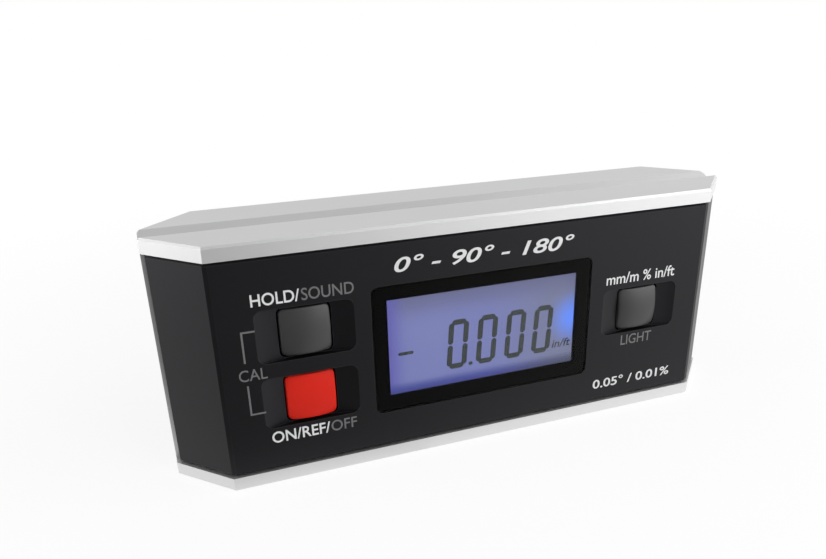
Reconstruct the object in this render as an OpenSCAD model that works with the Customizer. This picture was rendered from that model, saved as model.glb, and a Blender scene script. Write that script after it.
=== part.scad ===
// Digital angle gauge: an aluminium I-section frame with pointed ends, a V groove along each rail,
// and a moulded cover on each side of its web. The front cover carries the display and three keys,
// the rear cover the batteries. Millimetres, +Z up, the front faces -Y, origin under the middle.

/* [Body] */
// Length over the two pointed ends
body_len = 152; // [146:1:170]
// Length of the flat front and rear faces
face_len = 128; // [124:1:134]
// Depth over the rails, front to rear
body_depth = 32; // [29:0.2:36]
// Height over the two rails
body_h = 60; // [58:1:70]
// Width of the narrow flat at each pointed end
tip_w = 7; // [4:0.2:9]

/* [Frame] */
// Thickness of the top and bottom rails
rail_t = 3.5; // [3:0.1:4.5]
// Thickness of the upright web between the rails
web_t = 2.4; // [1.6:0.1:2.8]
// Width of the V groove along each rail
groove_w = 6.4; // [4:0.2:8]
// Depth of the V groove
groove_d = 1.6; // [0.8:0.1:2]
// Chamfer round the outer face of each rail
rail_edge = 0.5; // [0.2:0.1:0.8]
// Width of the wiring window through the web
wire_window_w = 14; // [8:1:18]
// Height of the wiring window
wire_window_h = 7; // [4:0.5:9]
// Middle of the wiring window along the body
wire_window_x = -20; // [-24:1:-18]
// Height of the wiring window above the bottom rail
wire_window_up = 4; // [2:0.5:6]

/* [Covers] */
// Step from the rail edges back to the cover faces
cover_step = 0.4; // [0.2:0.1:0.6]
// Step from the frame tips back to the cover ends
tip_step = 0.9; // [0.5:0.1:1.5]
// Gap between each cover and the rails
cover_gap = 0.45; // [0.3:0.05:0.8]
// Thickness of the cover walls
cover_wall = 2; // [1.8:0.1:2.4]
// Thickness of the front and rear faces
face_t = 2.2; // [1.8:0.1:2.6]
// Chamfer on the cover edges beside the rails
cover_edge = 0.4; // [0.2:0.1:0.8]
// Length taken off each upright edge of the cover faces
cover_corner = 0.6; // [0.3:0.1:1.2]
// Thickness of the gasket between each cover and the web
gasket_t = 0.8; // [0.5:0.1:1.2]
// Width of that gasket
gasket_w = 1.4; // [1:0.1:1.6]
// Inset of the gasket from the outline of the cover
gasket_inset = 0.3; // [0.1:0.1:0.4]

/* [Display] */
// Width of the display window
window_w = 58; // [52:0.5:62]
// Height of the display window
window_h = 32.5; // [28:0.5:34]
// Corner radius of the display window
window_r = 1.6; // [0.8:0.2:3]
// Drop of the window's middle below mid height
window_drop = 0.6; // [0:0.1:1.5]
// Shift of the window and the keys to the right of mid length
panel_x = 0.6; // [0:0.1:1.5]
// Width of the black border round the visible display
border_w = 3.8; // [3:0.1:5]
// Thickness of the clear lens
lens_t = 1.1; // [0.9:0.1:1.8]
// Depth of the lens face below the cover face
lens_sink = 0.05; // [0:0.05:0.3]
// Thickness of the black adhesive border behind the lens
mask_t = 0.3; // [0.2:0.05:0.5]
// Thickness of the ledge that carries the lens
ledge_t = 1.6; // [1.2:0.1:1.8]
// Distance from the visible area out to the ledge
ledge_back_off = 1; // [0.5:0.1:1.5]
// Overlap of the display glass behind the ledge
lcd_lap = 1.8; // [1.6:0.1:2.4]
// Thickness of the display glass
lcd_t = 1.8; // [1.4:0.1:2.2]
// Thickness of the light guide
guide_t = 3.3; // [2.4:0.1:3.6]
// Wall of the display holder
holder_wall = 1.4; // [1:0.1:2]
// Floor of the display holder
holder_floor = 0.6; // [0.5:0.1:0.8]
// Relief between the display holder and the cover
holder_relief = 0.3; // [0.2:0.1:0.6]
// Thickness of each conductive rubber strip
strip_w = 1.8; // [1.4:0.1:2.2]
// Length of the backlight lamp along the edge of the light guide
led_len = 3; // [2:0.1:4]
// Thickness of the backlight lamp
led_t = 1.2; // [0.8:0.1:1.3]

/* [Keys] */
// Width and height of each key
key_size = 11.6; // [10:0.1:12]
// Corner radius of each key
key_corner = 1.2; // [0.6:0.1:2]
// Radius of the crowned key face, side to side
key_crown_r = 18; // [11:0.5:30]
// Radius of the crowned key face, top to bottom
key_arch_r = 22; // [16:0.5:60]
// Height of the key crown above the cover face
key_rise = 0.3; // [0:0.05:0.35]
// Travel of each key
key_travel = 0.8; // [0.4:0.1:1]
// Width of the flange that keeps each key in
key_lip = 1.2; // [0.8:0.1:1.6]
// Thickness of that flange
key_lip_t = 1.2; // [0.8:0.1:1.4]
// Distance from the display window to the scoops beside it
scoop_gap = 4.2; // [2:0.1:6]
// Distance between the two keys on the left
key_pitch = 16.6; // [15.8:0.2:17.4]
// Length of the dished scoop beside each key
scoop_w = 22.6; // [18:0.2:26]
// Reach of each scoop above and below its key
scoop_margin = 0.6; // [0.4:0.1:1.2]
// Depth of each scoop at the key
scoop_d = 2; // [1:0.1:2.4]
// Corner radius of each scoop
scoop_r = 2; // [0.5:0.1:4]
// Rim of solid plastic behind each scoop
scoop_rim = 1.2; // [0.8:0.1:1.6]
// Width and height of each key switch
switch_w = 6.2; // [5:0.1:7]
// Height of each key switch on the board
switch_h = 1.8; // [1.4:0.1:2]
// Diameter of the switch plungers
plunger_d = 3; // [2:0.1:4]
// Plunger length inside the switch at rest
plunger_in = 0.7; // [0.4:0.1:0.8]

/* [Board] */
// Gap between the board and the cover walls above and below it
board_gap = 1.55; // [1:0.05:2.5]
// Thickness of the circuit board
board_t = 1.6; // [1:0.1:1.8]
// Gap between the board and the cover bosses beside it
board_side = 0.8; // [0.4:0.1:1.5]
// Place of the controller chip along the board
chip_x = -4; // [-12:0.5:2]
// Height of the controller chip above the board's middle
chip_z = 3; // [-2:0.5:8]
// Width and height of the controller chip
chip_w = 12; // [8:0.5:14]
// Thickness of the controller chip
chip_t = 1.4; // [1:0.1:1.8]
// Place of the buzzer along the board
buzzer_x = -20; // [-22:0.5:-19]
// Drop of the buzzer below the board's middle
buzzer_drop = 8; // [7:0.5:8]
// Diameter of the buzzer
buzzer_d = 12; // [9:0.5:13]
// Height of the buzzer
buzzer_h = 2.8; // [2:0.1:3]
// Diameter of the sound hole in the buzzer
sound_d = 2.4; // [1.5:0.1:3]
// Gap between the buzzer and the round window behind it in the web
sound_gap = 0.5; // [0.3:0.1:1]

/* [Tilt sensor] */
// Diameter of the sealed tilt sensor
sensor_d = 22; // [18:0.5:24]
// Height of the tilt sensor off the web
sensor_h = 8; // [6:0.2:10]
// Distance of the sensor left of the middle
sensor_x = 40; // [38:0.5:42]
// Thickness of the sensor's mounting ears
ear_t = 1.6; // [1.2:0.1:2.4]
// Distance from the sensor's body out to each ear screw
ear_out = 3.5; // [2.6:0.1:4.5]
// Width of each ear
ear_w = 7; // [6:0.2:9]

/* [Battery] */
// Diameter of each cell
cell_d = 10.5; // [9.5:0.1:11]
// Length of each cell over its nub
cell_len = 44.5; // [42:0.1:46]
// Diameter of the nub on each cell
nub_d = 3.8; // [3:0.1:5]
// Height of that nub
nub_h = 1; // [0.6:0.1:1.4]
// Distance between the two cells
cell_pitch = 11.3; // [11.1:0.1:12]
// Middle of the battery box right of the middle of the body
battery_x = 19; // [17:0.5:21]
// Length of each coil spring
spring_len = 4; // [3:0.1:5]
// Wire of each coil spring
spring_wire = 0.7; // [0.5:0.05:0.9]
// Inset of the spring's wide end from the edge of the cell
spring_inset = 1.6; // [1.2:0.1:2]
// Turns of each coil spring
spring_turns = 4; // [3:0.5:5]
// Inset of the contact plates from the edges of the cells
plate_inset = 0.5; // [0.2:0.1:1]
// Gap between the contact plates and the web, past the foot of the battery box
plate_lift = 0.4; // [0.2:0.1:1]
// Thickness of the contact plates
plate_t = 0.4; // [0.3:0.05:0.6]
// Side walls of the battery box
box_wall = 3.4; // [3.2:0.1:4.4]
// Solid block at each end of the battery box
box_end = 9; // [8.4:0.2:10]
// Thickness of the battery door
door_t = 2; // [1.8:0.1:2.3]
// Reach of the door past each end of the battery box
door_reach = 7.5; // [7.2:0.1:8]
// Reach of the door past each side of the battery box
door_side = 2.4; // [2.2:0.1:2.8]
// Width of the two ribs inside the door
door_rib_w = 1.2; // [0.8:0.1:2]
// Distance from these ribs to the ends of the battery box
door_rib_end = 10; // [6:0.5:14]
// Thickness of the door gasket
door_gasket_t = 0.6; // [0.4:0.1:1]
// Width of the door gasket
door_gasket_w = 1.2; // [0.8:0.1:1.4]

/* [Fasteners] */
// Diameter of the cover screws
cover_screw_d = 3; // [2.5:0.1:3.5]
// Diameter of their heads
cover_head_d = 5.5; // [4.5:0.1:6]
// Height of their heads
cover_head_h = 2; // [1.4:0.1:2.4]
// Depth of the heads below the rear face
cover_head_sink = 1; // [0.4:0.1:2]
// Reach of the cover screws into the front cover
cover_screw_grip = 7; // [5:0.2:8]
// Distance of the cover screws from the end of the flat face
cover_screw_in = 4.5; // [4:0.1:5.5]
// Distance of the cover screws from the long edges of the covers
cover_screw_edge = 4.85; // [4.4:0.05:5.6]
// Diameter of the screw bosses in the covers
boss_d = 7.6; // [7.2:0.1:8.2]
// Diameter of the small screws
small_screw_d = 2; // [1.6:0.1:2.2]
// Diameter of the small screw heads
small_head_d = 4; // [3.4:0.1:4.6]
// Height of the small screw heads
small_head_h = 1.3; // [1:0.1:1.5]
// Reach of the board screws into their bosses
board_screw_grip = 4.5; // [3:0.1:5]
// Reach of the door screws into the battery box
door_screw_grip = 7; // [4:0.2:9]
// Diameter of the bosses that carry the board
board_boss_d = 5.4; // [5:0.1:6]
// Distance of the board screws from the board's ends
board_screw_in = 4; // [3.4:0.1:4.6]
// Distance of the board screws from the board's long edges
board_screw_edge = 3; // [2.8:0.1:3.4]

/* [Clearances] */
// Gap round each key in its hole
key_gap = 0.4; // [0.15:0.05:0.5]
// Gap between each key flange and its stop
rest_gap = 0.15; // [0.05:0.05:0.2]
// Gap left between a pressed key and its switch
press_gap = 0.4; // [0.3:0.05:0.6]
// Gap round pieces set in pockets
fit_gap = 0.2; // [0.1:0.05:0.3]
// Radial gap round screws and plungers
screw_gap = 0.1; // [0.05:0.05:0.3]
// Gap between cells, springs, plates and the battery box
contact_gap = 0.1; // [0.05:0.05:0.2]

/* [Hidden] */
$fn = 48;
// overrun of a cut past the face it opens
cut = 1;
// small overlap that fuses two parts of one solid
fuse = 0.2;
// cross recess of a screw, as shares of its head
slot_w_share = 0.16;
slot_len_share = 0.6;
slot_d_share = 0.5;
// small parts on the rear of the board: place along and above its middle, width, height and thickness
memory = [12, 10, 6, 5, 1.2];
crystal = [-22, 6, 8, 3.4, 2];
regulator = [32, -10, 6.5, 4, 1.6];
socket = [18, -12, 10, 4, 2.2];

// Plan of the body: the slanted ends
mid_z = body_h / 2;
slant = atan2((body_depth - tip_w) / 2, (body_len - face_len) / 2);
function plan_y(inset) = body_depth / 2 - inset;
function plan_x(inset) = face_len / 2 - inset * tan(slant / 2);
function slant_y(x, inset) = plan_y(inset) - (x - plan_x(inset)) * tan(slant);
function slant_x(y, inset) = plan_x(inset) + (plan_y(inset) - y) / tan(slant);

// Covers, all measured on the front one: distances from the mid plane are negative towards the front
cover_z0 = rail_t + cover_gap;
cover_h = body_h - 2 * cover_z0;
cover_face = -plan_y(cover_step);
cover_end = body_len / 2 - tip_step;
cover_inner = cover_face + face_t;
rim_y = -(web_t / 2 + gasket_t);
cavity_end = cover_end - cover_wall;
cover_screw_x = face_len / 2 - cover_screw_in;
cover_screw_z = cover_h / 2 - cover_screw_edge;

// Display stack, from the cover face inwards
view_w = window_w - 2 * border_w;
view_h = window_h - 2 * border_w;
opening_w = view_w + 2 * ledge_back_off;
opening_h = view_h + 2 * ledge_back_off;
lcd_w = opening_w + 2 * lcd_lap;
lcd_h = opening_h + 2 * lcd_lap;
window_z = mid_z - window_drop;
lens_face = cover_face + lens_sink;
mask_face = lens_face + lens_t;
ledge_face = mask_face + mask_t;
lcd_face = ledge_face + ledge_t;
guide_face = lcd_face + lcd_t;
guide_back = guide_face + guide_t;
board_face = guide_back + holder_floor;
board_back = board_face + board_t;
pocket_w = lcd_w + 2 * fit_gap;
pocket_h = lcd_h + 2 * fit_gap;
guide_w = opening_w;
guide_h = lcd_h - 2 * (strip_w + 2 * fit_gap);
strip_z = lcd_h / 2 - fit_gap - strip_w / 2;
led_x = (guide_w / 2 + pocket_w / 2) / 2;

// Keys: centres, and the stop that each flange rests on
scoop_h = key_size + 2 * scoop_margin;
key_x = window_w / 2 + scoop_gap + scoop_w / 2;
hold_pos = [panel_x - key_x, window_z + key_pitch / 2];
power_pos = [panel_x - key_x, window_z - key_pitch / 2];
unit_pos = [panel_x + key_x, window_z];
key_places = [hold_pos, power_pos, unit_pos];
switch_face = board_face - switch_h;
lip_back = switch_face - press_gap - key_travel;
lip_face = lip_back - key_lip_t;
stop_y = lip_face - rest_gap;
key_front = cover_face - key_rise;
key_hole = key_size + 2 * key_gap;
lip_size = key_size + 2 * key_lip;
scoop_cyl_r = (scoop_w * scoop_w / 4 + scoop_d * scoop_d) / (2 * scoop_d);

// Board and its screws
board_w = 2 * (cover_screw_x - boss_d / 2 - board_side);
board_h = cover_h - 2 * (cover_wall + board_gap);
board_screw_x = board_w / 2 - board_screw_in;
board_screw_z = board_h / 2 - board_screw_edge;
board_places = [for (sx = [-1, 1], sz = [-1, 1]) [sx * board_screw_x, mid_z + sz * board_screw_z]];
cover_places = [for (sx = [-1, 1], sz = [-1, 1]) [sx * cover_screw_x, mid_z + sz * cover_screw_z]];
ear_reach = sensor_d / 2 + ear_out;
sensor_places = [for (sx = [-1, 1]) [sx * ear_reach - sensor_x, mid_z]];

// Battery box in the rear cover: open to the web, so that the cells lie between the web and the door
rear_face = -cover_face;
box_y0 = web_t / 2 + fit_gap;
cell_y = web_t / 2 + contact_gap + cell_d / 2;
door_face = rear_face - door_t;
rib_h = door_face - (cell_y + cell_d / 2) - contact_gap;
bay_len = cell_len + spring_len + 2 * plate_t + 3 * contact_gap;
bay_h = cell_pitch + cell_d + 4 * contact_gap;
door_len = bay_len + 2 * door_reach;
door_h = bay_h + 2 * door_side;
door_screw_x = bay_len / 2 + door_reach / 2 + door_gasket_w / 2 + fit_gap;
door_places = [for (sx = [-1, 1]) [battery_x + sx * door_screw_x, mid_z]];
door_head_sink = small_head_h + fit_gap;
gasket_len = bay_len + 2 * (fit_gap + door_gasket_w);
gasket_h = bay_h + 2 * (fit_gap + door_gasket_w);

// Outline shapes
module rounded_rect(w, h, r) {
    square([w - 2 * r, h], center = true);
    square([w, h - 2 * r], center = true);
    for (sx = [-1, 1], sz = [-1, 1])
        translate([sx * (w / 2 - r), sz * (h / 2 - r)])
            circle(r);
}

module ring_rect(w, h, wall) {
    difference() {
        square([w, h], center = true);
        square([w - 2 * wall, h - 2 * wall], center = true);
    }
}

// Stands a flat outline upright: its X stays X, its Y becomes Z, from depth y0 to depth y1
module upright(y0, y1) {
    rotate([90, 0, 0])
        translate([0, 0, -y1])
            linear_extrude(y1 - y0)
                children();
}

module at(place) {
    translate([place[0], 0, place[1]])
        children();
}

// A round bar or bore along the depth
module rod(d, y0, y1) {
    translate([0, y0, 0])
        rotate([-90, 0, 0])
            cylinder(d = d, h = y1 - y0);
}

// Cuts a chamfer c along the edge from p to q of a plan, at height z; side is 1 on top, -1 below
module edge_cut(p, q, z, c, side) {
    run = q - p;
    translate([p[0], p[1], z])
        rotate([0, 0, atan2(run[1], run[0])])
            translate([-c, 0, 0])
                rotate([90, 0, 90])
                    linear_extrude(norm(run) + 2 * c)
                        polygon([[c + cut, side * cut], [-cut, side * cut], [-cut, -side * (c + cut)]]);
}

// A screw along the depth: the head's seat at y = 0, the head towards +Y with a cross recess
module screw(d, length, head_d, head_h) {
    slot_w = head_d * slot_w_share;
    slot_len = head_d * slot_len_share;
    slot_d = head_h * slot_d_share;
    rod(d, -length, fuse);
    difference() {
        rod(head_d, 0, head_h);
        for (turn = [0, 90])
            rotate([0, turn, 0])
                translate([0, head_h, 0])
                    cube([slot_len, 2 * slot_d, slot_w], center = true);
    }
}

// The frame
frame_plan = [
    [-face_len / 2, -body_depth / 2], [face_len / 2, -body_depth / 2],
    [body_len / 2, -tip_w / 2], [body_len / 2, tip_w / 2],
    [face_len / 2, body_depth / 2], [-face_len / 2, body_depth / 2],
    [-body_len / 2, tip_w / 2], [-body_len / 2, -tip_w / 2]
];

groove_half = groove_w / 2;
groove = [[-groove_half, 0], [0, -groove_d], [groove_half, 0], [groove_half, cut], [-groove_half, cut]];

module rail() {
    corners = len(frame_plan);
    difference() {
        translate([0, 0, body_h - rail_t])
            linear_extrude(rail_t)
                polygon(frame_plan);
        for (i = [0:corners - 1])
            edge_cut(frame_plan[i], frame_plan[(i + 1) % corners], body_h, rail_edge, 1);
        translate([0, 0, body_h])
            rotate([90, 0, 90])
                linear_extrude(body_len + 2 * cut, center = true)
                    polygon(groove);
    }
}

module frame() {
    color("silver")
        difference() {
            union() {
                rail();
                translate([0, 0, body_h])
                    mirror([0, 0, 1])
                        rail();
                translate([0, 0, mid_z])
                    cube([body_len, web_t, body_h - 2 * rail_t + 2 * fuse], center = true);
            }
            at([wire_window_x, rail_t + wire_window_up + wire_window_h / 2])
                upright(-web_t, web_t)
                    square([wire_window_w, wire_window_h], center = true);
            at([buzzer_x, mid_z - buzzer_drop])
                rod(buzzer_d + 2 * sound_gap, -web_t, web_t);
            for (place = cover_places)
                at(place)
                    rod(cover_screw_d + 2 * screw_gap, -web_t, web_t);
            for (place = sensor_places)
                at(place)
                    rod(small_screw_d + 2 * screw_gap, -web_t, web_t);
        }
}

// The covers: one tray, mirrored for the rear
function toward(p, q, c) = p + c * (q - p) / norm(q - p);
end_pt = [cover_end, -slant_y(cover_end, cover_step)];
face_pt = [plan_x(cover_step), cover_face];
function flip(p) = [-p[0], p[1]];
// the first six points run round the outside, from one end over the face to the other end
outside = 6;
cover_plan = [
    flip(end_pt),
    toward(flip(face_pt), flip(end_pt), cover_corner), toward(flip(face_pt), face_pt, cover_corner),
    toward(face_pt, flip(face_pt), cover_corner), toward(face_pt, end_pt, cover_corner),
    end_pt,
    [cover_end, rim_y], [-cover_end, rim_y]
];
wall_inset = cover_step + cover_wall;
cavity_x = slant_x(-cover_inner, wall_inset);
cavity_y = -slant_y(cavity_end, wall_inset);
cavity_plan = [
    [-cavity_end, cavity_y], [-cavity_x, cover_inner], [cavity_x, cover_inner], [cavity_end, cavity_y],
    [cavity_end, rim_y + cut], [-cavity_end, rim_y + cut]
];

module cover_block() {
    difference() {
        translate([0, 0, cover_z0])
            linear_extrude(cover_h)
                polygon(cover_plan);
        for (i = [0:outside - 2]) {
            edge_cut(cover_plan[i], cover_plan[i + 1], cover_z0 + cover_h, cover_edge, 1);
            edge_cut(cover_plan[i], cover_plan[i + 1], cover_z0, cover_edge, -1);
        }
    }
}

module cover_cavity() {
    translate([0, 0, cover_z0 + cover_wall])
        linear_extrude(cover_h - 2 * cover_wall)
            polygon(cavity_plan);
}

module cover_tray() {
    difference() {
        cover_block();
        cover_cavity();
    }
    intersection() {
        cover_block();
        for (place = cover_places)
            at(place)
                rod(boss_d, cover_face, rim_y);
    }
}

module scoop_cut() {
    intersection() {
        upright(cover_face - cut, cover_face + scoop_d + cut)
            rounded_rect(scoop_w, scoop_h, scoop_r);
        translate([0, cover_face + scoop_d - scoop_cyl_r, 0])
            cylinder(r = scoop_cyl_r, h = scoop_h + 2 * cut, center = true, $fn = 96);
    }
}

module front_cover() {
    pad_w = scoop_w + 2 * scoop_rim;
    pad_h = scoop_h + 2 * scoop_rim;
    recess_w = window_w + 2 * fit_gap;
    recess_h = window_h + 2 * fit_gap;
    seat_w = recess_w + 2 * cover_wall;
    seat_h = recess_h + 2 * cover_wall;
    board_bore = small_screw_d + 2 * screw_gap;
    color("#232325")
        difference() {
            union() {
                cover_tray();
                at([panel_x, window_z])
                    upright(cover_inner - fuse, lcd_face)
                        square([seat_w, seat_h], center = true);
                for (place = key_places)
                    at(place)
                        upright(cover_inner - fuse, stop_y)
                            square([pad_w, pad_h], center = true);
                for (place = board_places)
                    at(place)
                        rod(board_boss_d, cover_inner - fuse, board_face);
            }
            at([panel_x, window_z]) {
                upright(cover_face - cut, ledge_face)
                    rounded_rect(recess_w, recess_h, window_r + fit_gap);
                upright(cover_face, lcd_face + cut)
                    square([opening_w, opening_h], center = true);
            }
            for (place = key_places)
                at(place) {
                    scoop_cut();
                    upright(cover_face - cut, stop_y + cut)
                        rounded_rect(key_hole, key_hole, key_corner + key_gap);
                }
            for (place = board_places)
                at(place)
                    rod(board_bore, board_face - board_screw_grip - cut, board_face + cut);
            for (place = cover_places)
                at(place)
                    rod(cover_screw_d + 2 * screw_gap, rim_y - cover_screw_grip - cut, rim_y + cut);
        }
}

module rear_cover() {
    seat_y = rear_face - cover_head_sink - cover_head_h;
    door_bore = small_screw_d + 2 * screw_gap;
    door_bore_end = rear_face - door_head_sink - door_screw_grip - cut;
    color("#232325")
        difference() {
            union() {
                mirror([0, 1, 0])
                    cover_tray();
                at([battery_x, mid_z])
                    upright(box_y0, rear_face - face_t / 2)
                        square([bay_len + 2 * box_end, bay_h + 2 * box_wall], center = true);
            }
            at([battery_x, mid_z]) {
                upright(0, rear_face + cut)
                    square([bay_len, bay_h], center = true);
                upright(door_face - door_gasket_t, rear_face + cut)
                    square([gasket_len + 2 * fit_gap, gasket_h + 2 * fit_gap], center = true);
                upright(door_face, rear_face + cut)
                    rounded_rect(door_len + 2 * fit_gap, door_h + 2 * fit_gap, window_r + fit_gap);
            }
            for (place = door_places)
                at(place)
                    rod(door_bore, door_bore_end, door_face + cut);
            for (place = cover_places)
                at(place) {
                    rod(cover_screw_d + 2 * screw_gap, 0, rear_face);
                    rod(cover_head_d + 2 * fit_gap, seat_y, rear_face + cut);
                }
        }
}

module cover_gasket() {
    ring_w = 2 * (cover_end - gasket_inset);
    ring_h = cover_h - 2 * gasket_inset;
    color("#101012")
        at([0, mid_z])
            upright(rim_y, -web_t / 2)
                ring_rect(ring_w, ring_h, gasket_w);
}

module front_gasket() {
    cover_gasket();
}

module rear_gasket() {
    mirror([0, 1, 0])
        cover_gasket();
}

// The display
module display_lens() {
    color([0.7, 0.8, 0.9, 0.4])
        at([panel_x, window_z])
            upright(lens_face, mask_face)
                rounded_rect(window_w, window_h, window_r);
}

module lens_mask() {
    color("#08080a")
        at([panel_x, window_z])
            upright(mask_face, ledge_face)
                difference() {
                    rounded_rect(window_w, window_h, window_r);
                    square([view_w, view_h], center = true);
                }
}

module lcd_panel() {
    color("#8a8fc4")
        at([panel_x, window_z])
            upright(lcd_face, guide_face)
                square([lcd_w, lcd_h], center = true);
}

module light_guide() {
    color("#c8d4f4")
        at([panel_x, window_z])
            upright(guide_face, guide_back)
                square([guide_w, guide_h], center = true);
}

module backlight_led() {
    color("#5c8cff")
        at([panel_x + led_x, window_z])
            upright(guide_face + guide_t / 4, board_face)
                square([led_t, led_len], center = true);
}

module contact_strips() {
    color("#3a3a3e")
        for (sz = [-1, 1])
            at([panel_x, window_z + sz * strip_z])
                upright(guide_face, board_face)
                    square([guide_w, strip_w], center = true);
}

module lcd_holder() {
    color("whitesmoke")
        at([panel_x, window_z])
            difference() {
                upright(lcd_face + holder_relief, board_face)
                    square([pocket_w + 2 * holder_wall, pocket_h + 2 * holder_wall], center = true);
                upright(lcd_face, guide_back)
                    square([pocket_w, pocket_h], center = true);
                for (sz = [-1, 1])
                    at([0, sz * strip_z])
                        upright(lcd_face, board_face + cut)
                            square([guide_w + 2 * fit_gap, strip_w + 2 * fit_gap], center = true);
                at([led_x, 0])
                    upright(lcd_face, board_face + cut)
                        square([led_t + 2 * fit_gap, led_len + 2 * fit_gap], center = true);
            }
}

// The board and what is soldered to it
module main_board() {
    color("darkgreen")
        difference() {
            at([0, mid_z])
                upright(board_face, board_back)
                    square([board_w, board_h], center = true);
            for (place = board_places)
                at(place)
                    rod(small_screw_d + 2 * fit_gap, board_face - cut, board_back + cut);
        }
}

module board_block(x, z, w, h, t) {
    at([x, mid_z + z])
        upright(board_back, board_back + t)
            square([w, h], center = true);
}

module controller_chip() {
    color("#1c1c1e")
        board_block(chip_x, chip_z, chip_w, chip_w, chip_t);
}

module board_parts() {
    color("dimgray")
        for (p = [memory, crystal, regulator, socket])
            board_block(p[0], p[1], p[2], p[3], p[4]);
}

module buzzer() {
    color("#1c1c1e")
        at([buzzer_x, mid_z - buzzer_drop])
            difference() {
                rod(buzzer_d, board_back, board_back + buzzer_h);
                rod(sound_d, board_back + buzzer_h / 2, board_back + buzzer_h + cut);
            }
}

module key_switches() {
    color("#b8b8bc")
        for (place = key_places)
            at(place)
                difference() {
                    upright(switch_face, board_face)
                        square([switch_w, switch_w], center = true);
                    rod(plunger_d + 2 * screw_gap, switch_face - cut, board_face + cut);
                }
}

// The keys: a crowned cap with a flange behind the cover
module key(place) {
    at(place) {
        intersection() {
            upright(key_front, lip_back)
                rounded_rect(key_size, key_size, key_corner);
            translate([0, key_front + key_crown_r, 0])
                cylinder(r = key_crown_r, h = key_size + 2 * cut, center = true, $fn = 96);
            translate([0, key_front + key_arch_r, 0])
                rotate([0, 90, 0])
                    cylinder(r = key_arch_r, h = key_size + 2 * cut, center = true, $fn = 96);
        }
        upright(lip_face, lip_back)
            rounded_rect(lip_size, lip_size, key_corner);
    }
}

module plunger(place) {
    color("#e8e8ea")
        at(place)
            rod(plunger_d, lip_back, switch_face + plunger_in);
}

module hold_key() {
    color("#4a4a4d")
        key(hold_pos);
}

module power_key() {
    color("#d62d26")
        key(power_pos);
}

module unit_key() {
    color("#4a4a4d")
        key(unit_pos);
}

module hold_plunger() {
    plunger(hold_pos);
}

module power_plunger() {
    plunger(power_pos);
}

module unit_plunger() {
    plunger(unit_pos);
}

// The tilt sensor on the rear of the web
module tilt_sensor() {
    ear_y = web_t / 2 + ear_t;
    color("#c9c2a8")
        difference() {
            at([-sensor_x, mid_z]) {
                rod(sensor_d, web_t / 2, web_t / 2 + sensor_h);
                upright(web_t / 2, ear_y) {
                    square([2 * ear_reach, ear_w], center = true);
                    for (sx = [-1, 1])
                        translate([sx * ear_reach, 0])
                            circle(d = ear_w);
                }
            }
            for (place = sensor_places)
                at(place)
                    rod(small_screw_d + 2 * screw_gap, 0, ear_y + cut);
        }
}

module sensor_screws() {
    color("gray")
        for (place = sensor_places)
            at(place)
                translate([0, web_t / 2 + ear_t, 0])
                    screw(small_screw_d, ear_t + web_t, small_head_d, small_head_h);
}

// The battery: two cells end to end in series, lying in opposite directions
bay_x = bay_len / 2;
cell_foot = -bay_x + plate_t + spring_len + 2 * contact_gap;

// Places one cell's worth of parts; end is 1 for the upper cell and -1, turned round, for the lower
module bay(end) {
    translate([battery_x, cell_y, mid_z + end * cell_pitch / 2])
        rotate([0, 0, end > 0 ? 0 : 180])
            children();
}

module along(d, x0, x1) {
    translate([x0, 0, 0])
        rotate([0, 90, 0])
            cylinder(d = d, h = x1 - x0);
}

module battery_cells() {
    cell_top = cell_foot + cell_len;
    color("#3c6e9e")
        for (end = [-1, 1])
            bay(end) {
                along(cell_d, cell_foot, cell_top - nub_h);
                along(nub_d, cell_top - nub_h - fuse, cell_top);
            }
}

// A conical coil: a round wire swept along a helix that narrows towards the cell
coil_steps = 12;
coil_sides = 8;
coil_wide = cell_d / 2 - spring_inset;
coil_narrow = nub_d / 2 + spring_wire / 2;
function coil_r(t) = coil_wide + (coil_narrow - coil_wide) * t;
wire_r = spring_wire / 2;
function coil_point(t, turn) =
    let (a = 360 * spring_turns * t, around = coil_r(t) + wire_r * cos(turn))
    let (x = wire_r + (spring_len - spring_wire) * t + wire_r * sin(turn))
    [x, around * cos(a), around * sin(a)];

module coil() {
    rings = round(spring_turns * coil_steps);
    points = [for (i = [0:rings], j = [0:coil_sides - 1]) coil_point(i / rings, 360 * j / coil_sides)];
    sides = [
        for (i = [0:rings - 1], j = [0:coil_sides - 1])
            let (k = (j + 1) % coil_sides, a = i * coil_sides, b = a + coil_sides)
            [a + j, a + k, b + k, b + j]
    ];
    foot = [for (j = [0:coil_sides - 1]) coil_sides - 1 - j];
    top = [for (j = [0:coil_sides - 1]) rings * coil_sides + j];
    polyhedron(points = points, faces = concat(sides, [foot, top]), convexity = 6);
}

module battery_springs() {
    color("lightgray")
        for (end = [-1, 1])
            bay(end)
                translate([-bay_x + plate_t + contact_gap, 0, 0])
                    coil();
}

module battery_plates() {
    plate_h = cell_d - 2 * plate_inset;
    plate_top = cell_y + plate_h / 2;
    color("lightgray") {
        at([battery_x - bay_x + plate_t / 2, mid_z])
            upright(box_y0 + plate_lift, plate_top)
                square([plate_t, cell_pitch + plate_h], center = true);
        for (sz = [-1, 1])
            at([battery_x + bay_x - plate_t / 2, mid_z + sz * cell_pitch / 2])
                upright(box_y0 + plate_lift, plate_top)
                    square([plate_t, plate_h], center = true);
    }
}

module battery_door() {
    rib_len = bay_len - 2 * door_rib_end;
    color("#232325")
        difference() {
            at([battery_x, mid_z]) {
                upright(door_face, rear_face)
                    rounded_rect(door_len, door_h, window_r);
                for (sz = [-1, 1])
                    at([0, sz * cell_pitch / 2])
                        upright(door_face - rib_h, door_face + fuse)
                            square([rib_len, door_rib_w], center = true);
            }
            for (place = door_places)
                at(place) {
                    rod(small_screw_d + 2 * screw_gap, door_face - cut, rear_face);
                    rod(small_head_d + 2 * fit_gap, rear_face - door_head_sink, rear_face + cut);
                }
        }
}

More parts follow.
